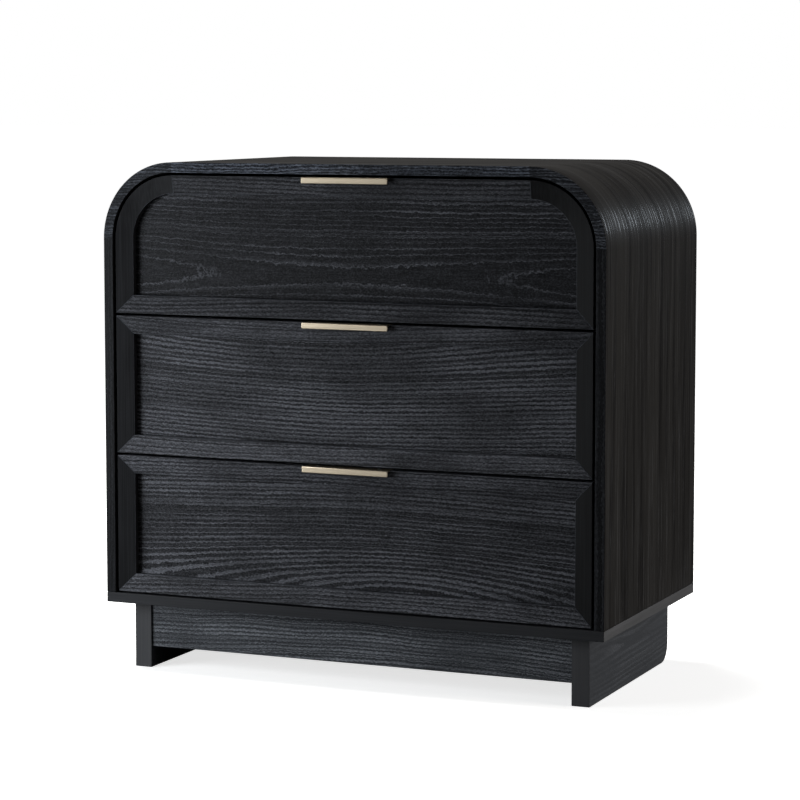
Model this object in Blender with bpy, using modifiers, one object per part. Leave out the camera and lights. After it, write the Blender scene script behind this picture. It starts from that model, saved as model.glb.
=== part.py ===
"""Bedside chest: a waterfall carcass on a plinth of two leg panels, with three framed drawers on ball slides.

The origin is on the floor, under the middle of the chest's outer box. X runs across the front, Y from front
to back, and Z up. Sizes are in metres.
"""

import math

import bmesh
import bpy
from mathutils import Matrix, Vector

# Overall size
WIDTH = 0.780
DEPTH = 0.416
HEIGHT = 0.754
BOARD = 0.015
FIT = 0.0003

# Carcass
CORNER_RADIUS = 0.1125
CORNER_STEPS = 24
BACK_THICKNESS = 0.005
BACK_SET_IN = 0.010

# Plinth
LEG_HEIGHT = 0.100
LEG_THICKNESS = 0.027
LEG_SET_IN = 0.031
LEG_FRONT_SET_BACK = 0.030
LEG_REAR_SET_BACK = 0.029
LEG_HEEL_RADIUS = 0.028
APRON_HEIGHT = 0.068
APRON_THICKNESS = 0.018
APRON_SET_BACK = 0.003
REAR_APRON_SET_IN = 0.040

# Drawer fronts
DRAWERS = 3
SIDE_GAP = 0.004
FRONT_GAP = 0.004
FOOT_GAP = 0.003
FRONT_SET_BACK = 0.0017
FRAME_WIDTH = 0.0265
FRAME_THICKNESS = 0.014
FRAME_SLOPE = 0.005
PANEL_THICKNESS = 0.009

# Drawer boxes
SLIDE_SPACE = 0.0127
BOX_LENGTH = 0.350
BOX_HEIGHT = 0.120
BOX_BOARD = 0.012
BOX_LIFT = 0.009
BOTTOM_THICKNESS = 0.005
BOTTOM_LIFT = 0.010
GROOVE_DEPTH = 0.006

# Ball slides, as sheet steel channels seen end on
SLIDE_SHEET = 0.0012
SLIDE_ABOVE_BOX_FOOT = 0.060
CABINET_RAIL = {"start": FIT, "end": 0.0090, "half_height": 0.0225, "lip": 0.0030}
MIDDLE_RAIL = {"start": 0.0023, "end": 0.0100, "half_height": 0.0186, "lip": 0.0028}
DRAWER_RAIL = {"start": 0.0047, "end": SLIDE_SPACE - FIT, "half_height": 0.0146, "lip": 0.0020}

# Edge pulls
PULL_LENGTH = 0.134
PULL_HEIGHT = 0.0088
PULL_SHEET = 0.0018
PULL_REACH = 0.005
PULL_FLANGE = 0.018
PULL_CORNER = 0.0015

# Derived places
FACE_Y = -(DEPTH - PULL_REACH) / 2
FRONT_Y = FACE_Y + FRONT_SET_BACK
REAR_Y = FACE_Y + DEPTH
SIDE_X = WIDTH / 2
CORNER_X = SIDE_X - CORNER_RADIUS
CORNER_Z = HEIGHT - CORNER_RADIUS
FLOOR_Z = LEG_HEIGHT + BOARD
OPENING_X = SIDE_X - BOARD
OPENING_TOP = HEIGHT - BOARD
FRONT_HALF = OPENING_X - SIDE_GAP
FRONT_HEIGHT = (OPENING_TOP - FLOOR_Z - FOOT_GAP - DRAWERS * FRONT_GAP) / DRAWERS
FRONT_RADIUS = FRONT_HALF - CORNER_X
PANEL_Y = FRONT_Y + FRAME_THICKNESS + FIT
BOX_Y = PANEL_Y + PANEL_THICKNESS + FIT
BOX_HALF = OPENING_X - SLIDE_SPACE
LEG_X = SIDE_X - LEG_SET_IN
LEG_FRONT_Y = FACE_Y + LEG_FRONT_SET_BACK
LEG_REAR_Y = REAR_Y - LEG_REAR_SET_BACK

STAND_UP = Matrix.Rotation(math.radians(90), 4, "X")
TURN_TO_SIDE = Matrix.Rotation(math.radians(90), 4, "Z")


def clear_scene():
    for obj in list(bpy.data.objects):
        bpy.data.objects.remove(obj)


def new_collection(name):
    collection = bpy.data.collections.new(name)
    bpy.context.scene.collection.children.link(collection)
    return collection


def new_material(name, colour, roughness, metallic=0.0):
    material = bpy.data.materials.new(name)
    material.use_nodes = True
    shader = material.node_tree.nodes["Principled BSDF"]
    shader.inputs["Base Color"].default_value = (*colour, 1.0)
    shader.inputs["Roughness"].default_value = roughness
    shader.inputs["Metallic"].default_value = metallic
    return material


clear_scene()
PARTS = new_collection("bedside_chest")
CUTTERS = new_collection("cutters")
OAK = new_material("black_oak", (0.020, 0.022, 0.026), 0.50)
BAND = new_material("black_edge_band", (0.016, 0.017, 0.019), 0.45)
BOX_BOARDS = new_material("drawer_box_board", (0.12, 0.11, 0.10), 0.60)
HARDBOARD = new_material("hardboard", (0.05, 0.05, 0.05), 0.70)
STEEL = new_material("zinc_steel", (0.55, 0.56, 0.58), 0.35, 1.0)
CHAMPAGNE = new_material("champagne_metal", (0.68, 0.60, 0.48), 0.30, 1.0)


def add_object(name, mesh, material, collection=PARTS):
    obj = bpy.data.objects.new(name, mesh)
    obj.data.materials.append(material)
    collection.objects.link(obj)
    return obj


def add_board(name, low, high, material, ease=0.0006, collection=PARTS):
    """A rectangular board from its low corner to its high corner, with its sharp edges eased."""
    low, high = Vector(low), Vector(high)
    bm = bmesh.new()
    bmesh.ops.create_cube(bm, size=1.0)
    bmesh.ops.scale(bm, vec=high - low, verts=bm.verts)
    mesh = bpy.data.meshes.new(name)
    bm.to_mesh(mesh)
    bm.free()
    board = add_object(name, mesh, material, collection)
    board.location = (low + high) / 2
    if ease:
        bevel = board.modifiers.new("eased edges", "BEVEL")
        bevel.width = ease
        bevel.segments = 1
    return board


def add_plate(name, outline, start, thickness, turn, material):
    """A flat plate: its 2D outline, extruded by its thickness from start along the plate's own normal."""
    curve = bpy.data.curves.new(name, "CURVE")
    curve.dimensions = "2D"
    curve.fill_mode = "BOTH"
    curve.extrude = thickness / 2
    spline = curve.splines.new("POLY")
    spline.points.add(len(outline) - 1)
    for point, (u, v) in zip(spline.points, outline):
        point.co = (u, v, 0.0, 1.0)
    spline.use_cyclic_u = True
    plate = add_object(name, curve, material)
    plate.matrix_world = turn @ Matrix.Translation((0, 0, start + thickness / 2))
    return plate


def add_facing_plate(name, outline, y, thickness, material):
    """A plate whose outline is drawn in X and Z, as seen from the front, with its front face at y."""
    return add_plate(name, outline, -y - thickness, thickness, STAND_UP, material)


def add_side_plate(name, outline, x, thickness, material):
    """A plate whose outline is drawn in Y and Z, with its left face at x."""
    return add_plate(name, outline, x, thickness, TURN_TO_SIDE @ STAND_UP, material)


def arc(centre_u, centre_v, radius, from_degrees, to_degrees, steps=CORNER_STEPS):
    """Points along an arc, both ends included."""
    points = []
    for step in range(steps + 1):
        angle = math.radians(from_degrees + (to_degrees - from_degrees) * step / steps)
        points.append((centre_u + radius * math.cos(angle), centre_v + radius * math.sin(angle)))
    return points


def saw(bm, point, normal):
    """Cuts the solid along a plane, throws away the side that the normal points to and closes the cut."""
    geometry = bm.verts[:] + bm.edges[:] + bm.faces[:]
    cut = bmesh.ops.bisect_plane(bm, geom=geometry, plane_co=point, plane_no=normal, clear_outer=True)
    edges = [item for item in cut["geom_cut"] if isinstance(item, bmesh.types.BMEdge)]
    bmesh.ops.contextual_create(bm, geom=edges)


def add_solid(name, bm, material):
    bmesh.ops.recalc_face_normals(bm, faces=bm.faces[:])
    mesh = bpy.data.meshes.new(name)
    bm.to_mesh(mesh)
    bm.free()
    return add_object(name, mesh, material)


def cut_away(target, cutter):
    """Cuts one object out of another with a Boolean."""
    cutter.hide_render = True
    cutter.display_type = "WIRE"
    boolean = target.modifiers.new("cut for " + cutter.name, "BOOLEAN")
    boolean.operation = "DIFFERENCE"
    boolean.object = cutter


# Carcass


def make_shell():
    """Two sides, two curved corners and the top, which meet where the curves begin."""
    sides_z = (FLOOR_Z + FIT, CORNER_Z - FIT / 2)
    for side, sign in (("left", -1), ("right", 1)):
        near, far = sorted((sign * OPENING_X, sign * SIDE_X))
        add_board(f"{side}_side_panel", (near, FACE_Y, sides_z[0]), (far, REAR_Y, sides_z[1]), OAK, 0)
        make_corner(f"{side}_corner_panel", sign)
    half = CORNER_X - FIT / 2
    add_board("top_panel", (-half, FACE_Y, OPENING_TOP), (half, REAR_Y, HEIGHT), OAK, 0)


def make_corner(name, sign):
    """A quarter ring, seen from the front, as deep as the carcass."""
    half_fit = math.degrees(FIT / 2 / (CORNER_RADIUS - BOARD))
    turn = (90 - sign * half_fit, 90 - sign * (90 - half_fit))
    outer = arc(sign * CORNER_X, CORNER_Z, CORNER_RADIUS, *turn)
    inner = arc(sign * CORNER_X, CORNER_Z, CORNER_RADIUS - BOARD, *turn)
    add_facing_plate(name, outer + inner[::-1], FACE_Y, DEPTH, OAK)


def make_bottom_and_back():
    add_board("bottom_panel", (-SIDE_X, FACE_Y, LEG_HEIGHT + FIT), (SIDE_X, REAR_Y, FLOOR_Z), OAK, 0)
    half = OPENING_X - FIT
    radius = half - CORNER_X
    low = FLOOR_Z + FIT
    outline = [(-half, low), (half, low)]
    outline += arc(CORNER_X, CORNER_Z, radius, 0, 90)
    outline += arc(-CORNER_X, CORNER_Z, radius, 90, 180)
    add_facing_plate("back_panel", outline, REAR_Y - BACK_SET_IN - BACK_THICKNESS, BACK_THICKNESS, HARDBOARD)


def make_plinth():
    """Two leg panels with a rounded heel at the back, and an apron between them at the front and the rear."""
    heel = arc(LEG_REAR_Y - LEG_HEEL_RADIUS, LEG_HEEL_RADIUS, LEG_HEEL_RADIUS, 270, 360, 10)
    outline = [(LEG_FRONT_Y, LEG_HEIGHT), (LEG_FRONT_Y, 0)] + heel + [(LEG_REAR_Y, LEG_HEIGHT)]
    add_side_plate("left_leg", outline, -LEG_X, LEG_THICKNESS, OAK)
    add_side_plate("right_leg", outline, LEG_X - LEG_THICKNESS, LEG_THICKNESS, OAK)
    half = LEG_X - LEG_THICKNESS - FIT
    foot = LEG_HEIGHT - APRON_HEIGHT
    front = LEG_FRONT_Y + APRON_SET_BACK
    rear = LEG_REAR_Y - REAR_APRON_SET_IN
    add_board("front_apron", (-half, front, foot), (half, front + APRON_THICKNESS, LEG_HEIGHT), OAK)
    add_board("rear_apron", (-half, rear - APRON_THICKNESS, foot), (half, rear, LEG_HEIGHT), OAK)


# Drawer fronts


def front_foot(drawer):
    """The height of a drawer front's lower edge. Drawer 1 is the top one."""
    return FLOOR_Z + FOOT_GAP + (DRAWERS - drawer) * (FRONT_HEIGHT + FRONT_GAP)


def make_panel(name, low, rounded):
    """The flat panel that the frame is glued to, with the top drawer's upper corners rounded."""
    high = low + FRONT_HEIGHT
    if rounded:
        outline = [(-FRONT_HALF, low), (FRONT_HALF, low)]
        outline += arc(CORNER_X, high - FRONT_RADIUS, FRONT_RADIUS, 0, 90)
        outline += arc(-CORNER_X, high - FRONT_RADIUS, FRONT_RADIUS, 90, 180)
        panel = add_facing_plate(name, outline, PANEL_Y, PANEL_THICKNESS, OAK)
        return mesh_from_curve(panel)
    return add_board(name, (-FRONT_HALF, PANEL_Y, low), (FRONT_HALF, PANEL_Y + PANEL_THICKNESS, high), OAK, 0)


def mesh_from_curve(obj):
    """Turns a plate into a mesh in the same place, so that a Boolean can cut it."""
    bpy.context.view_layer.update()
    graph = bpy.context.evaluated_depsgraph_get()
    mesh = bpy.data.meshes.new_from_object(obj.evaluated_get(graph))
    bm = bmesh.new()
    bm.from_mesh(mesh)
    bmesh.ops.remove_doubles(bm, verts=bm.verts, dist=0.00001)
    bm.to_mesh(mesh)
    bm.free()
    name, material, place = obj.name, obj.data.materials[0], obj.matrix_world.copy()
    bpy.data.objects.remove(obj)
    made = bpy.data.objects.new(name, mesh)
    if not mesh.materials:
        mesh.materials.append(material)
    PARTS.objects.link(made)
    made.matrix_world = place
    return made


def moulding_profile():
    """The frame's section: how far in from the front's edge, and how far back from its face."""
    back = FRAME_THICKNESS
    return [(0.0, 0.0), (FRAME_WIDTH, FRAME_SLOPE), (FRAME_WIDTH, back), (0.0, back)]


def start_moulding(start, inwards):
    """The closed loop of the moulding's section, as vertices and edges, standing at start."""
    bm = bmesh.new()
    corners = []
    for across, back in moulding_profile():
        corners.append(bm.verts.new(start + across * inwards + Vector((0, back, 0))))
    edges = [bm.edges.new((corners[i - 1], corners[i])) for i in range(len(corners))]
    return bm, edges


def push_moulding(bm, edges, way):
    """Extrudes the section's loop along way, and returns the far end's vertices and edges."""
    pushed = bmesh.ops.extrude_edge_only(bm, edges=edges)["geom"]
    far_end = [item for item in pushed if isinstance(item, bmesh.types.BMVert)]
    bmesh.ops.translate(bm, verts=far_end, vec=way)
    return far_end + [item for item in pushed if isinstance(item, bmesh.types.BMEdge)]


def close_moulding(bm):
    bmesh.ops.holes_fill(bm, edges=bm.edges[:])
    bmesh.ops.recalc_face_normals(bm, faces=bm.faces[:])


def mitre(bm, corner, along, inwards):
    """Cuts a stick at 45 degrees through the frame's corner. The waste lies towards along."""
    normal = (along + inwards).normalized()
    saw(bm, corner - normal * FIT / 2, normal)


def make_rail(name, height, inwards, square_ends):
    """A rail across the front. Its ends are mitred, or square where it meets a curved stile."""
    half = CORNER_X - FIT / 2 if square_ends else FRONT_HALF
    bm, edges = start_moulding(Vector((-half, FRONT_Y, height)), inwards)
    push_moulding(bm, edges, Vector((2 * half, 0, 0)))
    close_moulding(bm)
    if not square_ends:
        for sign in (-1, 1):
            mitre(bm, Vector((sign * half, FRONT_Y, height)), Vector((sign, 0, 0)), inwards)
    return add_solid(name, bm, OAK)


def make_straight_stile(name, sign, low, high):
    inwards = Vector((-sign, 0, 0))
    foot = Vector((sign * FRONT_HALF, FRONT_Y, low))
    head = Vector((sign * FRONT_HALF, FRONT_Y, high))
    bm, edges = start_moulding(foot, inwards)
    push_moulding(bm, edges, head - foot)
    close_moulding(bm)
    mitre(bm, foot, Vector((0, 0, -1)), inwards)
    mitre(bm, head, Vector((0, 0, 1)), inwards)
    return add_solid(name, bm, BAND)


def make_curved_stile(name, sign, low, high):
    """A stile that follows the chest's round corner and ends in a square joint against the top rail."""
    inwards = Vector((-sign, 0, 0))
    foot = Vector((sign * FRONT_HALF, FRONT_Y, low))
    centre = Vector((sign * CORNER_X, FRONT_Y, high - FRONT_RADIUS))
    bm, edges = start_moulding(foot, inwards)
    far_end = push_moulding(bm, edges, Vector((0, 0, centre.z - low)))
    bmesh.ops.spin(
        bm, geom=far_end, cent=centre, axis=(0, -sign, 0), angle=math.radians(90), steps=CORNER_STEPS
    )
    close_moulding(bm)
    mitre(bm, foot, Vector((0, 0, -1)), inwards)
    saw(bm, Vector((centre.x + sign * FIT / 2, FRONT_Y, high)), Vector((-sign, 0, 0)))
    return add_solid(name, bm, BAND)


def make_frame(drawer, low):
    """The frame of mouldings round a drawer front. Returns its top rail."""
    high = low + FRONT_HEIGHT
    curved = drawer == 1
    top = make_rail(f"drawer_{drawer}_top_rail", high, Vector((0, 0, -1)), curved)
    make_rail(f"drawer_{drawer}_bottom_rail", low, Vector((0, 0, 1)), False)
    for side, sign in (("left", -1), ("right", 1)):
        name = f"drawer_{drawer}_{side}_stile"
        if curved:
            make_curved_stile(name, sign, low, high)
        else:
            make_straight_stile(name, sign, low, high)
    return top


# Pulls


def make_pull(drawer, top_rail, panel, high):
    """A folded edge pull: a flange let into the front's upper edge, and a lip that hangs in front of it."""
    half = PULL_LENGTH / 2
    lip_y = FACE_Y - PULL_REACH
    flange_rear = FRONT_Y + PULL_FLANGE
    lip = add_board(
        f"drawer_{drawer}_pull", (-half, lip_y, high - PULL_HEIGHT), (half, flange_rear, high), CHAMPAGNE, 0
    )
    round_lip_corners(lip)
    below = add_board(
        f"pull_hollow_{drawer}",
        (-half - BOARD, lip_y + PULL_SHEET, high - BOARD),
        (half + BOARD, flange_rear + BOARD, high - PULL_SHEET),
        CHAMPAGNE,
        0,
        CUTTERS,
    )
    cut_away(lip, below)
    seat = add_board(
        f"pull_seat_{drawer}",
        (-half - FIT, FRONT_Y - BOARD, high - PULL_SHEET - FIT),
        (half + FIT, flange_rear + FIT, high + BOARD),
        CHAMPAGNE,
        0,
        CUTTERS,
    )
    cut_away(top_rail, seat)
    cut_away(panel, seat)


def round_lip_corners(lip):
    """Rounds the two lower corners of the lip, which run from front to back."""
    mesh = lip.data
    bm = bmesh.new()
    bm.from_mesh(mesh)
    lower = [
        edge
        for edge in bm.edges
        if all(vert.co.z < 0 for vert in edge.verts) and edge.verts[0].co.x * edge.verts[1].co.x > 0
        and abs(edge.verts[0].co.y - edge.verts[1].co.y) > PULL_SHEET
    ]
    bmesh.ops.bevel(bm, geom=lower, offset=PULL_CORNER, segments=4, profile=0.5, affect="EDGES")
    bm.to_mesh(mesh)
    bm.free()


# Drawer boxes and slides


def box_foot(drawer):
    return front_foot(drawer) + BOX_LIFT


def make_box(drawer):
    """Two sides and a back behind the front panel, with a bottom held in grooves in the three boards."""
    low = box_foot(drawer)
    high = low + BOX_HEIGHT
    rear = BOX_Y + BOX_LENGTH
    inner = BOX_HALF - BOX_BOARD
    groove_low = low + BOTTOM_LIFT
    groove = add_board(
        f"bottom_groove_{drawer}",
        (-inner - GROOVE_DEPTH, BOX_Y - BOARD, groove_low - FIT),
        (inner + GROOVE_DEPTH, rear - BOX_BOARD + GROOVE_DEPTH, groove_low + BOTTOM_THICKNESS + FIT),
        HARDBOARD,
        0,
        CUTTERS,
    )
    for side, sign in (("left", -1), ("right", 1)):
        near, far = sorted((sign * inner, sign * BOX_HALF))
        board = add_board(f"drawer_{drawer}_box_{side}", (near, BOX_Y, low), (far, rear, high), BOX_BOARDS)
        cut_away(board, groove)
    back = add_board(
        f"drawer_{drawer}_box_back",
        (-inner + FIT, rear - BOX_BOARD, low),
        (inner - FIT, rear, high),
        BOX_BOARDS,
    )
    cut_away(back, groove)
    add_board(
        f"drawer_{drawer}_box_bottom",
        (-inner - GROOVE_DEPTH + FIT, BOX_Y, groove_low),
        (inner + GROOVE_DEPTH - FIT, rear - BOX_BOARD + GROOVE_DEPTH - FIT, groove_low + BOTTOM_THICKNESS),
        HARDBOARD,
        0,
    )


def channel_outline(rail, web_first):
    """The section of a slide rail: a channel of sheet steel with a lip at each edge of its mouth.

    The rail spans from start to end, measured from the carcass side. web_first puts its web at start.
    """
    sheet = SLIDE_SHEET
    web, mouth = (rail["start"], rail["end"]) if web_first else (rail["end"], rail["start"])
    way = 1 if mouth > web else -1
    tall = rail["half_height"]
    lip = rail["lip"]
    upper = [
        (web, tall),
        (mouth, tall),
        (mouth, tall - lip),
        (mouth - way * sheet, tall - lip),
        (mouth - way * sheet, tall - sheet),
        (web + way * sheet, tall - sheet),
    ]
    lower = [(across, -up) for across, up in reversed(upper)]
    return upper + lower


def make_slides(drawer):
    """Three nested rails on each side: one on the carcass, one on the drawer and one between them."""
    height = box_foot(drawer) + SLIDE_ABOVE_BOX_FOOT
    for side, sign in (("left", -1), ("right", 1)):
        for kind, rail, web_first in (
            ("cabinet_rail", CABINET_RAIL, True),
            ("middle_rail", MIDDLE_RAIL, True),
            ("drawer_rail", DRAWER_RAIL, False),
        ):
            section = channel_outline(rail, web_first)
            outline = [(sign * (OPENING_X - across), height + up) for across, up in section]
            add_facing_plate(f"drawer_{drawer}_{side}_{kind}", outline, BOX_Y + FIT, BOX_LENGTH - FIT, STEEL)


def make_drawer(drawer):
    low = front_foot(drawer)
    panel = make_panel(f"drawer_{drawer}_front_panel", low, drawer == 1)
    top_rail = make_frame(drawer, low)
    make_pull(drawer, top_rail, panel, low + FRONT_HEIGHT)
    make_box(drawer)
    make_slides(drawer)


def main():
    make_shell()
    make_bottom_and_back()
    make_plinth()
    for drawer in range(1, DRAWERS + 1):
        make_drawer(drawer)


main()
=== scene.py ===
import math

import bmesh
import bpy
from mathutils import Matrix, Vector


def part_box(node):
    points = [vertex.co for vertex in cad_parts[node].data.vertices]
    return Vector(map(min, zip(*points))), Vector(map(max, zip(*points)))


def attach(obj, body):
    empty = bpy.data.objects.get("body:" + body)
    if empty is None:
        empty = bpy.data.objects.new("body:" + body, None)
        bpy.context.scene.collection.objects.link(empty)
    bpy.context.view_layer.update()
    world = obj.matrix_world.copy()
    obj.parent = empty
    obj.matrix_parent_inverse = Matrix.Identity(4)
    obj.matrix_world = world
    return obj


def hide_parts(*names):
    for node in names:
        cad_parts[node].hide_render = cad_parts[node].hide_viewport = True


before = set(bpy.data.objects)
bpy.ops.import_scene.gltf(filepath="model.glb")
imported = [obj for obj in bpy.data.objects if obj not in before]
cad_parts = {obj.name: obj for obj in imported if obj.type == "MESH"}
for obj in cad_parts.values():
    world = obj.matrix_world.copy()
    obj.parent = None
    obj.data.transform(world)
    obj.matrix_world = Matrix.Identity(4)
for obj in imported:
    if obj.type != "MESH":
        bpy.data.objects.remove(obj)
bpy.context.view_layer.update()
bpy.ops.object.select_all(action="DESELECT")
print("frame loaded")

axisX = Vector((1, 0, 0))
axisZ = Vector((0, 0, 1))

# places that the pieces share, read from the frame
topLow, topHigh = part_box("top_panel")
sideLow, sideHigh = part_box("right_side_panel")
cornerLow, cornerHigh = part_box("right_corner_panel")
bendX = (topHigh.x + cornerLow.x) / 2
bendZ = (sideHigh.z + cornerLow.z) / 2
bendRadius = sideHigh.x - bendX
quarterArc = bendRadius * math.pi / 2

drawers = {
    1: {"body": "upper_drawer", "name": "upper"},
    2: {"body": "middle_drawer", "name": "middle"},
    3: {"body": "lower_drawer", "name": "lower"},
}


# shader maths: a Wire is one socket, and plain arithmetic on it adds Math nodes
class Wire:
    def __init__(self, finish, socket):
        self.finish = finish
        self.socket = socket

    def calc(self, operation, *values):
        return self.finish.node("Math", {"operation": operation}, dict(enumerate((self, *values))))

    def __add__(self, other):
        return self.calc("ADD", other)

    def __sub__(self, other):
        return self.calc("SUBTRACT", other)

    def __mul__(self, other):
        return self.calc("MULTIPLY", other)

    def __truediv__(self, other):
        return self.calc("DIVIDE", other)

    def __pow__(self, other):
        return self.calc("POWER", other)


class Finish:
    def __init__(self, name):
        self.material = bpy.data.materials.new(name)
        self.material.use_nodes = True
        self.tree = self.material.node_tree
        self.shader = self.tree.nodes["Principled BSDF"]

    def node(self, kind, settings=None, sockets=None, output=0):
        made = self.tree.nodes.new("ShaderNode" + kind)
        for name, value in (settings or {}).items():
            if name == "stops":
                self.setStops(made.color_ramp, value)
            else:
                setattr(made, name, value)
        for name, value in (sockets or {}).items():
            self.feed(made.inputs[name], value)
        return Wire(self, made.outputs[output])

    def setStops(self, ramp, stops):
        while len(ramp.elements) < len(stops):
            ramp.elements.new(1.0)
        for element, (place, level) in zip(ramp.elements, stops):
            element.position = place
            element.color = (level, level, level, 1.0)

    def feed(self, socket, value):
        if isinstance(value, Wire):
            self.tree.links.new(value.socket, socket)
        else:
            socket.default_value = value

    def spread(self, vector):
        parts = self.tree.nodes.new("ShaderNodeSeparateXYZ")
        self.feed(parts.inputs[0], vector)
        return [Wire(self, output) for output in parts.outputs]

    def gather(self, x, y, z):
        return self.node("CombineXYZ", None, {0: x, 1: y, 2: z})

    def noise(self, vector, detail=2.0, roughness=0.5):
        sockets = {"Vector": vector, "Scale": 1.0, "Detail": detail, "Roughness": roughness}
        return self.node("TexNoise", None, sockets)

    # noise drawn out along the grain. Scale says how often it changes in a metre, along and across
    def streaks(self, place, scale, shift=0.0, detail=2.0, roughness=0.5):
        along, across, depth = place
        drawn = self.gather(along * scale[0] + shift, across * scale[1], depth * scale[1])
        return self.noise(drawn, detail, roughness)

    def ease(self, value, low, high, toLow=0.0, toHigh=1.0):
        sockets = {0: value, 1: low, 2: high, 3: toLow, 4: toHigh}
        return self.node("MapRange", {"interpolation_type": "SMOOTHSTEP"}, sockets)

    def blend(self, mask, first, second):
        colours = [colour if isinstance(colour, Wire) else (*colour, 1.0) for colour in (first, second)]
        return self.node("Mix", {"data_type": "RGBA"}, {0: mask, 6: colours[0], 7: colours[1]}, 2)

    def bump(self, height, distance, strength=1.0):
        sockets = {"Height": height, "Distance": distance, "Strength": strength}
        self.feed(self.shader.inputs["Normal"], self.node("Bump", None, sockets))

    def set(self, **values):
        for name, value in values.items():
            self.feed(self.shader.inputs[name.replace("_", " ")], value)


# stained open-pore oak. Rings are the skin of a cone round the heart line, so arches, flames and
# straight grain all come from where the heart lies and how the ring centre sinks away along the board
# the pale pore colour is partly the grain's own paler pores and partly a painted highlight for the light
# their relief catches, bluish like the key light
oakToneAndSheen = {"ground": (0.0062, 0.0064, 0.0073), "pore": (0.165, 0.170, 0.192)}

oakBasics = {
    "along": "x",
    "heart": (0.0, 0.0),     # along and across the board
    "face": 0.0,             # where the shown face lies
    "depth": 0.03,           # from that face to the heart
    "sink": 0.0,             # how fast the heart sinks away from the face to both sides
    "reach": 0.3,            # where it levels out
    "ring": 0.0058,
    "uneven": 1.1,           # how much good and bad years differ, in rings
    "early": 0.56,           # the pale share of each ring
    "wander": 0.008,         # slow drift of the lines, then their fine shifts
    "jag": 0.0014,
    "ripple": 0.0038,
    "dash": (210.0, 760.0),  # pores in a metre, along and across
    "strength": 1.0,
    "rough": 0.50,
    "relief": 0.00022,
    "seed": 0.0,
}

# changes in a metre, along and across the grain
oakNoise = {
    "wander": (3.1, 8.5),
    "jag": (26.0, 120.0),
    "ripple": (210.0, 150.0),
    "spacing": 95.0,
    "fibre": (18.0, 380.0),
    "patch": (6.5, 18.0),
    "grit": (430.0, 620.0),
}


def grainSpace(finish, along):
    if along == "wrap":
        return finish.spread(finish.node("Attribute", {"attribute_name": "wrap"}, None, 1))
    x, y, z = finish.spread(finish.node("TexCoord", None, None, 3))
    return {"x": (x, z, y), "z": (z, x, y), "y": (y, z, x)}[along]


def oakVeneer(name, **changes):
    figure = {**oakBasics, **oakToneAndSheen, **changes}
    finish = Finish(name)
    place = grainSpace(finish, figure["along"])
    along, across, depth = place
    shift = figure["seed"]
    a = along - figure["heart"][0]
    c = across - figure["heart"][1]

    wander = finish.streaks(place, oakNoise["wander"], shift) - 0.5
    jag = finish.streaks(place, oakNoise["jag"], shift, 3.0, 0.6) - 0.5
    c = c + wander * (figure["wander"] * 2) + jag * (figure["jag"] * 2)
    sunk = a * a * figure["sink"] / (a * a / figure["reach"] ** 2 + 1.0)
    core = sunk + (depth - figure["face"]) + figure["depth"]
    radius = (c * c + core * core) ** 0.5
    ripple = finish.streaks(place, oakNoise["ripple"], shift, 2.0, 0.6) - 0.5
    radius = radius + ripple * figure["ripple"]
    years = {"W": radius * oakNoise["spacing"] + shift, "Detail": 2.0}
    uneven = finish.node("TexNoise", {"noise_dimensions": "1D"}, years)
    phase = (radius / figure["ring"] + uneven * figure["uneven"]).calc("FRACT")
    share = figure["early"]
    stops = ((0.0, 0.0), (share * 0.22, 1.0), (share * 0.72, 0.70), (share, 0.05), (1.0, 0.0))
    early = finish.node("ValToRGB", {"stops": stops}, {0: phase})

    # pores are short dashes, crowded in each ring's early wood and scattered elsewhere
    dash = finish.streaks(place, figure["dash"], shift, 2.0, 0.65)
    pores = finish.ease(dash, 0.42, 0.60)
    fibre = finish.streaks(place, oakNoise["fibre"], shift, 3.0, 0.6)
    patch = finish.streaks(place, oakNoise["patch"], shift)
    grit = finish.streaks(place, oakNoise["grit"], shift, 2.0, 0.7)
    lines = early * (pores * 0.62 + 0.38) * finish.ease(patch, 0.28, 0.70, 0.35, 1.20)
    stray = finish.ease(dash, 0.58, 0.72) * 0.20
    haze = finish.ease(fibre, 0.38, 0.72) * 0.12 + finish.ease(grit, 0.42, 0.70) * 0.26
    mask = ((lines + stray + haze) * figure["strength"]).calc("MINIMUM", 1.0)

    finish.set(Base_Color=finish.blend(mask, figure["ground"], figure["pore"]))
    finish.set(Roughness=mask * 0.30 + figure["rough"])
    finish.set(Specular_IOR_Level=0.06)
    finish.bump(lines * -0.7 - stray * 0.8 + fibre * 0.35, figure["relief"])
    return finish.material
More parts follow.
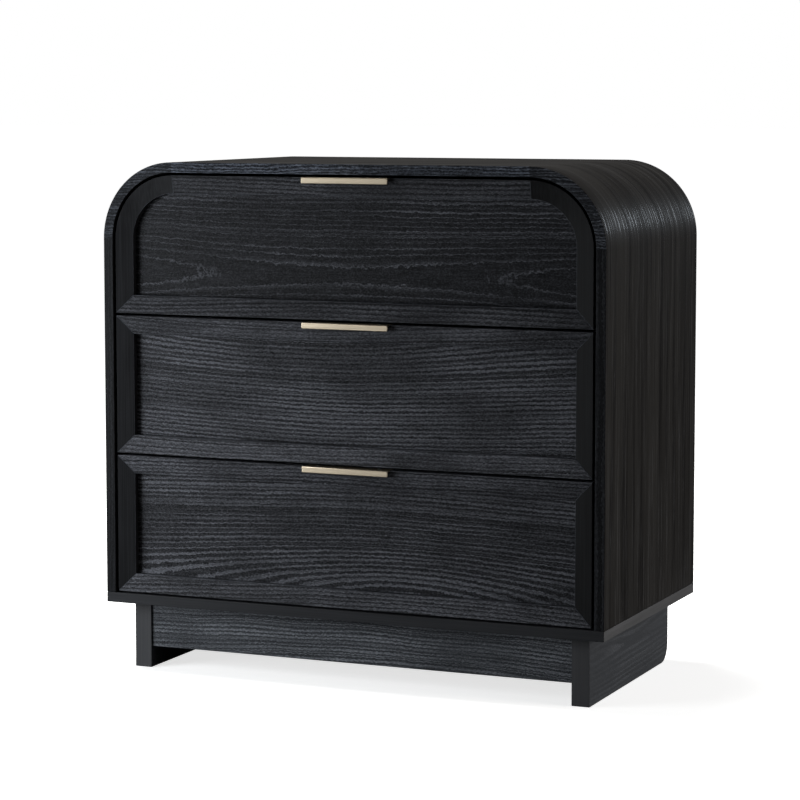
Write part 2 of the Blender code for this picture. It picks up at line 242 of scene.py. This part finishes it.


# quiet straight-grained oak for the wrapped shell: dark streaks and fine pale lines on a brown-black ground,
# with a thin lacquer on the pale lines only. The pale lines' glint colour is partly their own tone and partly
# a painted glint
def straightOak(name, **changes):
    figure = {
        "along": "wrap", "ground": (0.0215, 0.0207, 0.0200), "streak": (0.0075, 0.0070, 0.0070),
        "glint": (0.066, 0.067, 0.070), "sway": 0.016, "rough": 0.48, "relief": 0.00022, "seed": 0.0,
        "lacquer": 0.50, "lacquerRough": 0.24,
    }
    figure.update(changes)
    finish = Finish(name)
    along, across, depth = grainSpace(finish, figure["along"])
    shift = figure["seed"]
    sway = finish.streaks((along, across, depth), (2.4, 5.0), shift) - 0.5
    place = (along, across + sway * figure["sway"], depth)
    band = finish.streaks(place, (0.9, 17.0), shift, 2.0, 0.6)
    broad = finish.streaks(place, (1.5, 62.0), shift, 3.0, 0.62)
    fine = finish.streaks(place, (4.0, 230.0), shift, 3.0, 0.68)
    dash = finish.streaks(place, (46.0, 640.0), shift, 2.0, 0.6)
    streak = finish.ease(broad, 0.48, 0.64) * finish.ease(fine, 0.34, 0.58)
    tone = finish.ease(band, 0.36, 0.64, 0.0, 0.45)
    pale = finish.ease(fine, 0.50, 0.66) * finish.ease(dash, 0.36, 0.62, 0.35, 1.0)
    dark = (streak + tone).calc("MINIMUM", 1.0)
    ground = finish.blend(dark, figure["ground"], figure["streak"])
    finish.set(Base_Color=finish.blend(pale * 0.42, ground, figure["glint"]))
    finish.set(Roughness=pale * 0.10 + dark * 0.10 + figure["rough"])
    finish.set(Specular_IOR_Level=0.02)
    finish.set(Coat_Weight=pale * figure["lacquer"], Coat_Roughness=figure["lacquerRough"], Coat_IOR=1.4)
    finish.bump(fine * 0.8 - pale * 0.7 - dark * 0.4, figure["relief"])
    return finish.material


# smooth stained edges and stiles: nearly plain, with faint lines along the grain and soft clouds
def smoothEdge(name, **changes):
    figure = {
        "along": "z", "ground": (0.0105, 0.0108, 0.0120), "line": (0.0260, 0.0268, 0.0296),
        "rough": 0.42, "relief": 0.00006, "seed": 0.0,
    }
    figure.update(changes)
    finish = Finish(name)
    place = grainSpace(finish, figure["along"])
    fine = finish.streaks(place, (5.0, 340.0), figure["seed"], 3.0, 0.6)
    cloud = finish.streaks(place, (6.0, 22.0), figure["seed"], 3.0, 0.55)
    mask = finish.ease(fine, 0.35, 0.72) * 0.6 + finish.ease(cloud, 0.35, 0.70) * 0.4
    finish.set(Base_Color=finish.blend(mask, figure["ground"], figure["line"]))
    finish.set(Roughness=mask * 0.12 + figure["rough"])
    finish.set(Specular_IOR_Level=0.06)
    finish.bump(fine, figure["relief"])
    return finish.material


# hairlines run along one way, with faint smudges in the shine
def brushedMetal(name, colour, rough, along):
    finish = Finish(name)
    x, y, z = finish.spread(finish.node("TexCoord", None, None, 3))
    stretch = {"x": (x * 6.0, y * 2600.0, z * 2600.0), "y": (x * 1500.0, y * 9.0, z * 1500.0)}[along]
    hair = finish.noise(finish.gather(*stretch), 3.0, 0.65)
    smudge = finish.noise(finish.gather(x * 30.0, y * 60.0, z * 60.0), 2.0)
    dull = tuple(part * 0.78 for part in colour)
    finish.set(Base_Color=finish.blend(finish.ease(hair, 0.30, 0.70), dull, colour))
    finish.set(Roughness=hair * 0.18 + smudge * 0.10 + rough)
    finish.set(Metallic=1.0)
    finish.bump(hair, 0.00003)
    return finish.material


# the drawer boxes are wrapped in grey foil with a linen print
def boxBoard(name):
    finish = Finish(name)
    x, y, z = finish.spread(finish.node("TexCoord", None, None, 3))
    warp = finish.noise(finish.gather(x * 900.0, y * 40.0, z * 900.0), 2.0)
    weft = finish.noise(finish.gather(x * 900.0, y * 900.0, z * 40.0), 2.0)
    cloth = finish.ease((warp + weft) * 0.5, 0.35, 0.65)
    finish.set(Base_Color=finish.blend(cloth, (0.085, 0.083, 0.080), (0.135, 0.131, 0.125)))
    finish.set(Roughness=cloth * 0.15 + 0.55)
    finish.bump(cloth, 0.00008)
    return finish.material


# pressed fibre, stained black
def hardboard(name):
    finish = Finish(name)
    x, y, z = finish.spread(finish.node("TexCoord", None, None, 3))
    fleck = finish.noise(finish.gather(x * 420.0, y * 420.0, z * 420.0), 4.0, 0.7)
    cloud = finish.noise(finish.gather(x * 7.0, y * 7.0, z * 7.0), 3.0)
    mask = finish.ease(fleck, 0.35, 0.65) * 0.6 + cloud * 0.4
    finish.set(Base_Color=finish.blend(mask, (0.018, 0.018, 0.019), (0.040, 0.040, 0.042)))
    finish.set(Roughness=mask * 0.2 + 0.58)
    finish.bump(fleck, 0.00010)
    return finish.material


# each board's own figure, as sawn: where its heart lies along and across it
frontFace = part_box("drawer_1_front_panel")[0].y
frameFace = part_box("drawer_2_top_rail")[0].y
oak = {
    "upper panel": oakVeneer("oakUpperPanel", heart=(0.005, 0.596), face=frontFace, depth=0.052, sink=-0.085,
                             reach=0.9, ring=0.0056, wander=0.007, jag=0.0030, early=0.30, strength=0.74,
                             seed=3.1),
    "middle panel": oakVeneer("oakMiddlePanel", heart=(-0.080, 0.556), face=frontFace, sink=0.62, reach=0.34,
                              wander=0.005, seed=11.7),
    "lower panel": oakVeneer("oakLowerPanel", heart=(0.090, 0.128), face=frontFace, sink=0.60, wander=0.005,
                             seed=23.9),
    "upper rails": oakVeneer("oakUpperRails", heart=(0.16, 0.640), face=frameFace, depth=0.040, sink=-0.20,
                             reach=0.5, ring=0.0052, early=0.84, strength=0.56, seed=31.3),
    "middle rails": oakVeneer("oakMiddleRails", heart=(-0.10, 0.580), face=frameFace, sink=0.40, reach=0.4,
                              ring=0.0052, early=0.84, strength=0.80, seed=47.2),
    "lower rails": oakVeneer("oakLowerRails", heart=(0.10, 0.060), face=frameFace, depth=0.040, sink=0.30,
                             reach=0.4, ring=0.0050, early=0.84, strength=0.80, seed=58.6),
    # the aprons' ground and pores are paler than the other oak: painted light, standing in for the floor's
    # bounce light low on the chest
    "aprons": oakVeneer("oakAprons", heart=(0.05, 0.000), depth=0.030, sink=0.20, reach=0.5, ring=0.0050,
                        face=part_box("front_apron")[0].y, wander=0.012, pore=(0.230, 0.243, 0.268),
                        ground=(0.0240, 0.0260, 0.0300), seed=66.4),
    # the leg sides are paler than the other oak: painted light for the floor's bounce light low on the chest,
    # over their own grain
    "leg sides": oakVeneer("oakLegSides", along="y", heart=(0.020, 0.066), face=sideHigh.x, depth=0.040,
                           sink=-0.35, reach=0.6, ring=0.0080, wander=0.010, strength=0.45,
                           ground=(0.041, 0.045, 0.051), pore=(0.130, 0.141, 0.160), seed=72.8),
    "shell edge": oakVeneer("oakShellEdge", heart=(0.0, 0.300), ring=0.0048, wander=0.016, jag=0.004,
                            dash=(120.0, 330.0), ground=(0.0050, 0.0056, 0.0072), pore=(0.165, 0.185, 0.230),
                            relief=0.00060, seed=81.5),
    "shell": straightOak("oakShell", seed=5.5),
    "shell arc edge": oakVeneer("oakShellArcEdge", heart=(0.0, 0.300), ring=0.0048, wander=0.016, jag=0.004,
                                dash=(120.0, 330.0), ground=(0.0044, 0.0048, 0.0060),
                                pore=(0.150, 0.162, 0.190), relief=0.00060, strength=0.62, seed=81.5),
    "shell side edge": oakVeneer("oakShellSideEdge", along="z", heart=(0.0, 0.300), ring=0.0048,
                                 wander=0.010, jag=0.003, ground=(0.0052, 0.0054, 0.0062),
                                 pore=(0.090, 0.095, 0.108), strength=0.30, seed=7.7),
    "left stiles": smoothEdge("oakLeftStiles", seed=13.4),
    # the right stiles are a darker copy of the left ones: painted shade, as the light falls from the left
    "right stiles": smoothEdge("oakRightStiles", ground=(0.0058, 0.0059, 0.0064),
                               line=(0.0150, 0.0153, 0.0165), seed=14.2),
    # paler bluish colour for the sanded frame edges: a painted highlight, not wear
    "arris": smoothEdge("oakArris", along="x", ground=(0.060, 0.065, 0.076), line=(0.088, 0.095, 0.110),
                        seed=15.1),
    # the leg fronts are a pale edge band made paler still: partly their own tone, partly painted bounce light
    # from the floor
    "leg fronts": smoothEdge("oakLegFronts", ground=(0.070, 0.071, 0.075), line=(0.086, 0.087, 0.092),
                             seed=17.9),
    "board edge": smoothEdge("oakBoardEdge", along="x", ground=(0.032, 0.033, 0.036),
                             line=(0.044, 0.045, 0.049), seed=19.2),
    "board ends": smoothEdge("oakBoardEnds", along="y", ground=(0.066, 0.068, 0.072),
                             line=(0.110, 0.113, 0.120), seed=20.6),
}
champagne = brushedMetal("champagneMetal", (0.66, 0.56, 0.42), 0.24, "x")
zincSteel = brushedMetal("zincSteel", (0.56, 0.57, 0.59), 0.28, "y")
greyBoard = boxBoard("greyBoard")
backBoard = hardboard("backBoard")
print("finishes made")


def edit(piece, mode="EDGE"):
    bpy.ops.object.select_all(action="DESELECT")
    piece.select_set(True)
    bpy.context.view_layer.objects.active = piece
    bpy.ops.object.mode_set(mode="EDIT")
    bpy.ops.mesh.select_mode(type=mode)
    bpy.ops.mesh.select_all(action="SELECT")


def leave():
    bpy.ops.object.mode_set(mode="OBJECT")


# selects the parts of a mesh in edit mode whose middle passes the test
def pick(piece, kind, wanted):
    bpy.ops.mesh.select_all(action="DESELECT")
    mesh = bmesh.from_edit_mesh(piece.data)
    for part in getattr(mesh, kind):
        corners = [part.co] if kind == "verts" else [vertex.co for vertex in part.verts]
        if wanted(sum(corners, Vector()) / len(corners), part):
            part.select_set(True)
    bmesh.update_edit_mesh(piece.data)


def addBlock(name, low, high):
    bpy.ops.object.select_all(action="DESELECT")
    bpy.ops.mesh.primitive_cube_add(size=1.0, location=(low + high) / 2)
    piece = bpy.context.object
    piece.name = name
    piece.data.name = name
    piece.scale = high - low
    bpy.ops.object.transform_apply(location=True, rotation=False, scale=True)
    return piece


def addSection(name, low, high):
    bpy.ops.object.select_all(action="DESELECT")
    bpy.ops.mesh.primitive_plane_add(size=1.0, location=(low + high) / 2)
    piece = bpy.context.object
    piece.name = name
    piece.data.name = name
    piece.scale = (high.x - low.x, high.y - low.y, 1.0)
    bpy.ops.object.transform_apply(location=True, rotation=False, scale=True)
    return piece


def sawOff(piece, place, wasteWay):
    edit(piece)
    bpy.ops.mesh.bisect(plane_co=place, plane_no=wasteWay, use_fill=True, clear_outer=True)
    leave()


def applyModifier(piece, kind, **settings):
    bpy.ops.object.select_all(action="DESELECT")
    piece.select_set(True)
    bpy.context.view_layer.objects.active = piece
    modifier = piece.modifiers.new(kind.lower(), kind)
    for name, value in settings.items():
        setattr(modifier, name, value)
    bpy.ops.object.modifier_apply(modifier=modifier.name)


# takes the sharp edges off, as sanding does
def sand(piece, width, segments=2):
    applyModifier(piece, "BEVEL", width=width, segments=segments, limit_method="ANGLE",
                  angle_limit=math.radians(35), harden_normals=False)


def cutFrom(piece, low, high):
    cutter = addBlock("cutter", low, high)
    applyModifier(piece, "BOOLEAN", operation="DIFFERENCE", object=cutter, solver="EXACT")
    bpy.data.objects.remove(cutter)


# the last step for every piece: soft curves, crisp edges, its finish and its place in the frame
def dress(piece, body, nodes, slot, *materials):
    bpy.ops.object.select_all(action="DESELECT")
    piece.select_set(True)
    bpy.context.view_layer.objects.active = piece
    bpy.ops.object.shade_smooth_by_angle(angle=math.radians(20))
    for material in materials:
        piece.data.materials.append(material)
    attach(piece, body)
    if nodes:
        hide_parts(*nodes)
    return piece


def colourFaces(piece, index, wanted):
    for face in piece.data.polygons:
        if wanted(face.normal):
            face.material_index = index


def facesFront(normal):
    return normal.y < -0.75


def facesSideways(normal):
    return abs(normal.x) > 0.75


# an edge that sanding took off at a slant, seen from the front
def isArris(normal):
    middle = sorted(abs(value) for value in normal)[1]
    return middle > 0.30 and normal.y < -0.25


# the sanded edges of the frames get a paler, bluish colour than their faces: a painted highlight for the
# light their slant catches
def paintEdgeHighlights(piece):
    piece.data.materials.append(oak["arris"])
    colourFaces(piece, 1, isArris)


def nearTo(first, second, slack=0.0002):
    return abs(first - second) < slack


# the wrapped shell: one bent board, sawn where the pieces meet
shell = {"steps": 40, "sanding": 0.0007}


# the grain runs round the bend, so each point is laid out as if the board were still flat:
# how far it is from the left bend's foot, its y, and how deep it lies under the outer face
def wrapPlace(point):
    side = -1 if point.x < 0 else 1
    fromBend = Vector((abs(point.x) - bendX, 0, point.z - bendZ))
    if fromBend.x <= 0:
        return quarterArc + bendX + point.x
    whole = 2 * quarterArc + 2 * bendX
    if fromBend.z <= 0:
        fromFoot = fromBend.z
    else:
        fromFoot = math.atan2(fromBend.z, fromBend.x) * bendRadius
    return fromFoot if side < 0 else whole - fromFoot


def wrapDepth(point):
    fromBend = Vector((abs(point.x) - bendX, 0, point.z - bendZ))
    if fromBend.x <= 0:
        return bendRadius - fromBend.z
    if fromBend.z <= 0:
        return bendRadius - fromBend.x
    return bendRadius - fromBend.length


def layWrap(piece):
    grain = piece.data.attributes.new("wrap", "FLOAT_VECTOR", "POINT")
    for vertex, place in zip(piece.data.vertices, grain.data):
        place.vector = (wrapPlace(vertex.co), vertex.co.y, wrapDepth(vertex.co))


def bendShell():
    footLow = Vector((-sideHigh.x, sideLow.y, sideLow.z))
    footHigh = Vector((-sideLow.x, sideHigh.y, sideLow.z))
    whole = addSection("shell", footLow, footHigh)
    edit(whole, "FACE")
    upright = (0, 0, bendZ - sideLow.z)
    bpy.ops.mesh.extrude_region_move(TRANSFORM_OT_translate={"value": upright})
    bpy.ops.mesh.spin(steps=shell["steps"], angle=-math.pi / 2, center=(-bendX, 0, bendZ), axis=(0, 1, 0))
    bpy.ops.mesh.extrude_region_move(TRANSFORM_OT_translate={"value": (2 * bendX, 0, 0)})
    bpy.ops.mesh.spin(steps=shell["steps"], angle=-math.pi / 2, center=(bendX, 0, bendZ), axis=(0, 1, 0))
    bpy.ops.mesh.extrude_region_move(TRANSFORM_OT_translate={"value": (0, 0, -upright[2])})
    bpy.ops.mesh.select_all(action="SELECT")
    bpy.ops.mesh.remove_doubles(threshold=0.00001)
    bpy.ops.mesh.normals_make_consistent(inside=False)
    leave()
    return whole


def makeShell():
    whole = bendShell()
    low = [min(vertex.co[axis] for vertex in whole.data.vertices) for axis in range(3)]
    high = [max(vertex.co[axis] for vertex in whole.data.vertices) for axis in range(3)]
    print("shell bent:", [round(value, 4) for value in low + high])
    sand(whole, shell["sanding"])
    seam = (0, 0, bendZ)
    leftBend, rightBend = (-bendX, 0, 0), (bendX, 0, 0)
    boards = {
        "left_side": ("shell side edge", [(seam, axisZ), ((0, 0, 0), axisX)]),
        "right_side": ("shell side edge", [(seam, axisZ), ((0, 0, 0), -axisX)]),
        "left_corner": ("shell arc edge", [(seam, -axisZ), (leftBend, axisX)]),
        "right_corner": ("shell arc edge", [(seam, -axisZ), (rightBend, -axisX)]),
        "top": ("shell edge", [(leftBend, -axisX), (rightBend, axisX)]),
    }
    for name, (edgeFinish, cuts) in boards.items():
        board = whole.copy()
        board.data = whole.data.copy()
        board.name = name + "_board"
        board.data.name = board.name
        bpy.context.collection.objects.link(board)
        for place, wasteWay in cuts:
            sawOff(board, place, wasteWay)
        layWrap(board)
        dress(board, "carcass", [name + "_panel"], "black_oak", oak["shell"], oak[edgeFinish])
        colourFaces(board, 1, facesFront)
    bpy.data.objects.remove(whole)


# the plinth and the board it carries
base = {"boardSanding": 0.0006, "legSanding": 0.0008, "heelRadius": 0.028, "heelSteps": 14}


def makeBase():
    low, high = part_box("bottom_panel")
    bottom = addBlock("bottom_board", low, high)
    sand(bottom, base["boardSanding"])
    dress(bottom, "carcass", ["bottom_panel"], "black_oak", oak["board edge"], oak["board ends"])
    colourFaces(bottom, 1, facesSideways)
    for side in ("left", "right"):
        low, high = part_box(f"{side}_leg")
        leg = addBlock(f"{side}_leg_panel", low, high)
        edit(leg)
        pick(leg, "edges", lambda middle, edge: nearTo(middle.y, high.y) and nearTo(middle.z, low.z))
        bpy.ops.mesh.bevel(offset=base["heelRadius"], segments=base["heelSteps"], affect="EDGES")
        leave()
        sand(leg, base["legSanding"])
        dress(leg, "carcass", [f"{side}_leg"], "black_oak", oak["leg sides"], oak["leg fronts"])
        colourFaces(leg, 1, facesFront)
    for end in ("front", "rear"):
        low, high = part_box(f"{end}_apron")
        apron = addBlock(f"{end}_apron_board", low, high)
        sand(apron, base["boardSanding"])
        dress(apron, "carcass", [f"{end}_apron"], "black_oak", oak["aprons"])


# a folded edge pull, let in flush with the drawer's top edge and screwed down through its flange
pull = {"sheet": 0.0018, "lipCorner": 0.0016, "chamfer": 0.0009}
pull.update({"seatGap": 0.0003, "seatReach": 0.030, "seatLead": 0.010})


def cutSeat(piece, number, startY):
    low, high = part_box(f"drawer_{number}_pull")
    gap = pull["seatGap"]
    seatLow = Vector((low.x - gap, startY, high.z - pull["sheet"] - gap))
    cutFrom(piece, seatLow, high + Vector((gap, gap, 0.010)))


# the mouldings slope back from the drawer's edge to the step round the panel
moulding = {"width": 0.0265, "slope": 0.005, "sanding": 0.0005, "joint": 0.00008, "arcSteps": 36}


def slopeBack(piece, inwards, inner):
    edit(piece, "VERT")
    front = min(vertex.co.y for vertex in piece.data.vertices)
    pick(piece, "verts", lambda place, vertex: nearTo(place.dot(inwards), inner) and nearTo(place.y, front))
    bpy.ops.transform.translate(value=(0, moulding["slope"], 0))
    leave()


def mitre(piece, corner, outwards, inwards):
    way = (outwards + inwards).normalized()
    sawOff(piece, corner - way * moulding["joint"], way)


def makeRail(number, end):
    node = f"drawer_{number}_{end}_rail"
    low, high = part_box(node)
    frontLow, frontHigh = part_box(f"drawer_{number}_front_panel")
    inwards = axisZ if end == "bottom" else -axisZ
    outerZ = low.z if end == "bottom" else high.z
    innerZ = high.z if end == "bottom" else low.z
    squareEnds = number == 1 and end == "top"
    half = bendX if squareEnds else frontHigh.x
    rail = addBlock(node + "_moulding", Vector((-half, low.y, low.z)), Vector((half, high.y, high.z)))
    slopeBack(rail, inwards, innerZ * inwards.z)
    if not squareEnds:
        for way in (-1, 1):
            mitre(rail, Vector((way * half, low.y, outerZ)), axisX * way, inwards)
    sand(rail, moulding["sanding"])
    if end == "top":
        cutSeat(rail, number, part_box(f"drawer_{number}_pull")[1].y - pull["seatReach"])
    dress(rail, drawers[number]["body"], [node], "black_oak", oak[drawers[number]["name"] + " rails"])
    paintEdgeHighlights(rail)


def makeStile(number, side):
    node = f"drawer_{number}_{side}_stile"
    way = -1 if side == "left" else 1
    low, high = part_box(node)
    frontLow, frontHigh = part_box(f"drawer_{number}_front_panel")
    inwards = -axisX * way
    outerX = way * frontHigh.x
    innerX = outerX - way * moulding["width"]
    footLow = Vector((min(outerX, innerX), low.y, frontLow.z))
    footHigh = Vector((max(outerX, innerX), high.y, frontLow.z))
    if number == 1:
        stile = addSection(node + "_moulding", footLow, footHigh)
        slopeBack(stile, inwards, innerX * inwards.x)
        edit(stile, "FACE")
        bpy.ops.mesh.extrude_region_move(TRANSFORM_OT_translate={"value": (0, 0, bendZ - frontLow.z)})
        centre = (way * bendX, 0, bendZ)
        bpy.ops.mesh.spin(steps=moulding["arcSteps"], angle=way * math.pi / 2, center=centre, axis=(0, 1, 0))
        bpy.ops.mesh.select_all(action="SELECT")
        bpy.ops.mesh.remove_doubles(threshold=0.00001)
        bpy.ops.mesh.normals_make_consistent(inside=False)
        leave()
        mitre(stile, Vector((outerX, low.y, frontLow.z)), -axisZ, inwards)
    else:
        stile = addBlock(node + "_moulding", footLow, footHigh + axisZ * (frontHigh.z - frontLow.z))
        slopeBack(stile, inwards, innerX * inwards.x)
        mitre(stile, Vector((outerX, low.y, frontLow.z)), -axisZ, inwards)
        mitre(stile, Vector((outerX, low.y, frontHigh.z)), axisZ, inwards)
    sand(stile, moulding["sanding"])
    dress(stile, drawers[number]["body"], [node], "black_edge_band", oak[side + " stiles"])
    paintEdgeHighlights(stile)


# the recessed panels. The upper one is rounded to follow the shell
front = {"arcSteps": 30, "sanding": 0.0004}


def makeFront(number):
    node = f"drawer_{number}_front_panel"
    low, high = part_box(node)
    panel = addBlock(node + "_board", low, high)
    if number == 1:
        edit(panel)
        pick(panel, "edges", lambda middle, edge: nearTo(middle.z, high.z) and nearTo(abs(middle.x), high.x))
        bpy.ops.mesh.bevel(offset=high.x - bendX, segments=front["arcSteps"], affect="EDGES")
        leave()
    sand(panel, front["sanding"])
    cutSeat(panel, number, low.y - pull["seatLead"])
    dress(panel, drawers[number]["body"], [node], "black_oak", oak[drawers[number]["name"] + " panel"])


def makePull(number):
    node = f"drawer_{number}_pull"
    low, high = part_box(node)
    lip = addBlock(node + "_strip", low, Vector((high.x, low.y + pull["sheet"], high.z)))
    edit(lip, "FACE")
    bpy.ops.mesh.bisect(plane_co=(0, 0, high.z - pull["sheet"]), plane_no=(0, 0, 1))
    rear = low.y + pull["sheet"]
    foldZ = high.z - pull["sheet"] / 2
    pick(lip, "faces", lambda middle, face: nearTo(middle.y, rear, 0.0001) and nearTo(middle.z, foldZ))
    bpy.ops.mesh.extrude_region_move(TRANSFORM_OT_translate={"value": (0, high.y - rear, 0)})
    bpy.ops.mesh.select_mode(type="EDGE")
    pick(lip, "edges", lambda middle, edge: nearTo(middle.z, low.z) and nearTo(abs(middle.x), high.x))
    bpy.ops.mesh.bevel(offset=pull["lipCorner"], segments=5, affect="EDGES")
    leave()
    sand(lip, pull["chamfer"])
    dress(lip, drawers[number]["body"], [node], "champagne_metal", champagne)
    for way in (-1, 1):
        makeScrew(f"drawer_{number}_pull_screw_{'left' if way < 0 else 'right'}",
                  Vector((way * screw["span"], high.y - screw["setIn"], high.z)), drawers[number]["body"])


# a flat round head with a sunk drive, seen when the drawer is open
screw = {"span": 0.048, "setIn": 0.007, "radius": 0.0028, "stands": 0.0004, "drive": 0.00154, "sunk": 0.00015,
         "sanding": 0.00008}


def makeScrew(name, top, body):
    bpy.ops.object.select_all(action="DESELECT")
    bpy.ops.mesh.primitive_cylinder_add(vertices=24, radius=screw["radius"], depth=screw["stands"],
                                        location=top)
    head = bpy.context.object
    head.name = name
    head.data.name = name
    bpy.ops.object.transform_apply(location=True, rotation=True, scale=True)
    edit(head, "FACE")
    pick(head, "faces", lambda middle, face: face.normal.z > 0.9)
    bpy.ops.mesh.inset(thickness=screw["drive"])
    bpy.ops.mesh.extrude_region_move(TRANSFORM_OT_translate={"value": (0, 0, -screw["sunk"])})
    leave()
    sand(head, screw["sanding"], 1)
    dress(head, body, [], "zinc_steel", zincSteel)


def finishHidden():
    for name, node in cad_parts.items():
        if name.endswith(("box_left", "box_right", "box_back")):
            wanted = greyBoard
        elif name.endswith("box_bottom") or name == "back_panel":
            wanted = backBoard
        elif name.endswith(("cabinet_rail", "middle_rail", "drawer_rail")):
            wanted = zincSteel
        else:
            continue
        node.data.materials.clear()
        node.data.materials.append(wanted)


makeShell()
makeBase()
print("carcass made")
for number in drawers:
    makeFront(number)
    for end in ("top", "bottom"):
        makeRail(number, end)
    for side in ("left", "right"):
        makeStile(number, side)
    makePull(number)
    print("drawer", number, "made")
finishHidden()


# a white floor that runs out of sight, a key light from the front left, one high over the chest, one
# far out on the right, a small one behind for the arc, and a weak one for the pulls to mirror
studio = {
    "floor": 60.0,
    "underBy": 0.002,
    "nearGlow": 0.72,
    "farGlow": 1.0,
    "glowStarts": 0.8,
    "glowEnds": 4.5,
    "around": 0.02,
    "bounce": 0.08,
    "keyLight": {"place": (-1.25, -1.12, 0.45), "aim": (-0.15, -0.2, 0.36), "size": 0.8, "power": 18,
                 "colour": (0.93, 0.97, 1.0)},
    "overheadLight": {"place": (-0.9, 0.40, 3.0), "aim": (0, 0.2, 0.4), "size": 1.6, "power": 145,
                      "colour": (1.0, 0.99, 0.97)},
    "sideLight": {"place": (3.2, 0.1, 0.75), "aim": (0.39, 0, 0.3), "size": 1.2, "power": 56,
                  "colour": (1.0, 0.95, 0.90)},
    "rimLight": {"place": (1.39, 2.6, 1.20), "aim": (0.39, 0, 0.70), "size": 0.5, "power": 9,
                 "colour": (0.82, 0.91, 1.0)},
    "pullLight": {"place": (-0.92, -2.20, 0.28), "aim": (0, -0.2, 0.5), "size": 0.9, "power": 1.0,
                  "colour": (1.0, 0.98, 0.95)},
}
view = {"place": (1.6026, -3.7480, 0.8539), "yaw": 23.20, "pitch": 5.13, "lens": 123.7, "shift": -0.075}


def addLight(name, light):
    place = Vector(light["place"])
    turn = (Vector(light["aim"]) - place).to_track_quat("-Z", "Y").to_euler()
    bpy.ops.object.light_add(type="AREA", location=place, rotation=turn)
    lamp = bpy.context.object
    lamp.name = name
    lamp.data.shape = "SQUARE"
    lamp.data.size = light["size"]
    lamp.data.energy = light["power"]
    lamp.data.color = light["colour"]
    lamp.visible_camera = False


# the seen floor is bright, and a dull one just under it is what the chest's own light bounces from
def setFloors():
    across = Vector((1, 1, 0)) * studio["floor"]
    floor = addSection("floor", -across, across)
    paint = Finish("floorPaint")
    paint.set(Base_Color=(0.90, 0.90, 0.90, 1.0), Roughness=0.9, Specular_IOR_Level=0.0)
    x, y, z = paint.spread(paint.node("TexCoord", None, None, 3))
    away = (x * x + y * y) ** 0.5
    glow = paint.ease(away, studio["glowStarts"], studio["glowEnds"], studio["nearGlow"], studio["farGlow"])
    paint.set(Emission_Color=paint.gather(glow, glow, glow), Emission_Strength=1.0)
    floor.data.materials.append(paint.material)
    floor.visible_diffuse = False
    floor.visible_glossy = False
    floor.visible_shadow = False
    drop = axisZ * studio["underBy"]
    under = addSection("underFloor", -across - drop, across - drop)
    dull = Finish("underFloorPaint")
    dull.set(Base_Color=(studio["bounce"], studio["bounce"], studio["bounce"], 1.0), Roughness=0.9)
    under.data.materials.append(dull.material)
    under.visible_camera = False


def setStudio():
    setFloors()
    world = bpy.data.worlds.new("studio")
    bpy.context.scene.world = world
    world.use_nodes = True
    nodes = world.node_tree.nodes
    links = world.node_tree.links
    sky = nodes["Background"]
    path = nodes.new("ShaderNodeLightPath")
    strength = nodes.new("ShaderNodeMapRange")
    strength.inputs[3].default_value = studio["around"]
    strength.inputs[4].default_value = 1.0
    links.new(path.outputs["Is Camera Ray"], strength.inputs[0])
    links.new(strength.outputs[0], sky.inputs["Strength"])
    sky.inputs["Color"].default_value = (1, 1, 1, 1)
    for name in ("keyLight", "overheadLight", "sideLight", "rimLight", "pullLight"):
        addLight(name, studio[name])
    bpy.context.scene.view_settings.view_transform = "Standard"


def setCamera():
    turn = (math.radians(90 - view["pitch"]), 0, math.radians(view["yaw"]))
    bpy.ops.object.camera_add(location=view["place"], rotation=turn)
    camera = bpy.context.object
    camera.data.lens = view["lens"]
    camera.data.sensor_width = 36
    camera.data.shift_y = view["shift"]
    bpy.context.scene.camera = camera


setStudio()
setCamera()
print("studio set")

bpy.context.view_layer.update()
